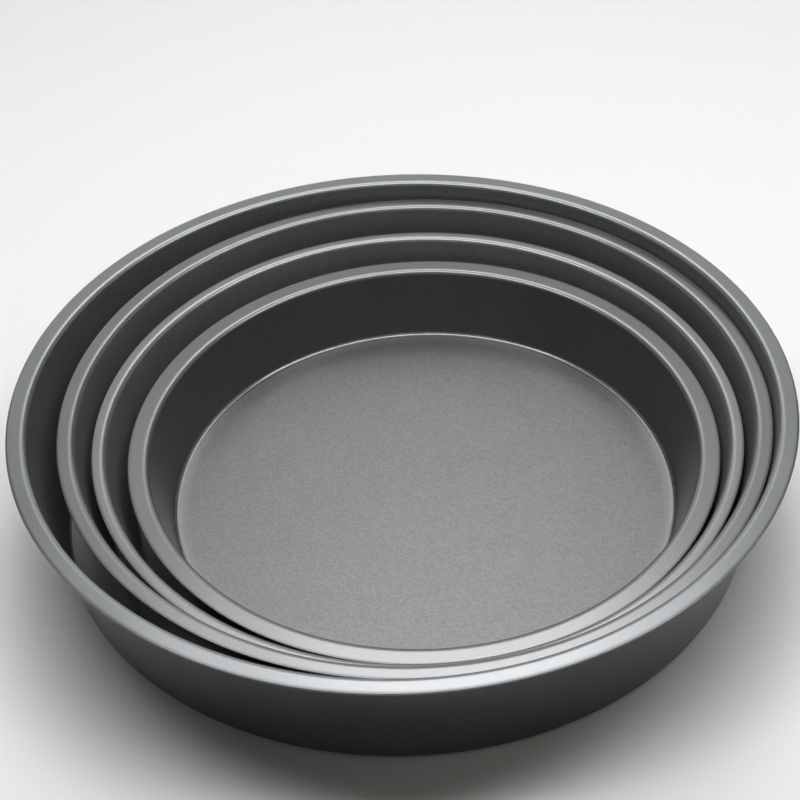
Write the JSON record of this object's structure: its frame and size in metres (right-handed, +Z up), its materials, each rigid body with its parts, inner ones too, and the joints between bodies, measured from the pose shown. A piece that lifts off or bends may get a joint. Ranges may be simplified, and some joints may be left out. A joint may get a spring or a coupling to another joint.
{
  "type": "nested pizza pans",
  "caption": "Round deep-dish pizza pans in graded sizes standing one inside the other, each a drawn aluminium sheet with a flat floor, a flared wall and a flat rim.",
  "frame": {"origin": "middle of the outer pan's underside, on the surface that it stands on", "axes": "+Z up out of the pans' mouths, +X to the right and +Y away from the viewer in the picture"},
  "size_m": [0.322, 0.316, 0.0567],
  "materials": {
    "sheet_12_inch": "hard-anodised, matt, cool grey",
    "sheet_11_inch": "hard-anodised, matt, grey with a violet cast",
    "sheet_10_inch": "hard-anodised, matt, neutral grey",
    "sheet_9_inch": "hard-anodised, matt, warm grey"
  },
  "bodies": {
    "pan_12_inch": {"pan_12_inch": "sheet_12_inch"},
    "pan_11_inch": {"pan_11_inch": "sheet_11_inch"},
    "pan_10_inch": {"pan_10_inch": "sheet_10_inch"},
    "pan_9_inch": {"pan_9_inch": "sheet_9_inch"}
  },
  "joints": [
    {"name": "lift_11_inch", "type": "slide", "parent": "pan_12_inch", "child": "pan_11_inch", "axis": [0, 0, 1], "range_m": [0, 0.062]},
    {"name": "lift_10_inch", "type": "slide", "parent": "pan_11_inch", "child": "pan_10_inch", "axis": [0, 0, 1], "range_m": [0, 0.055]},
    {"name": "lift_9_inch", "type": "slide", "parent": "pan_10_inch", "child": "pan_9_inch", "axis": [0, 0, 1], "range_m": [0, 0.046]}
  ]
}
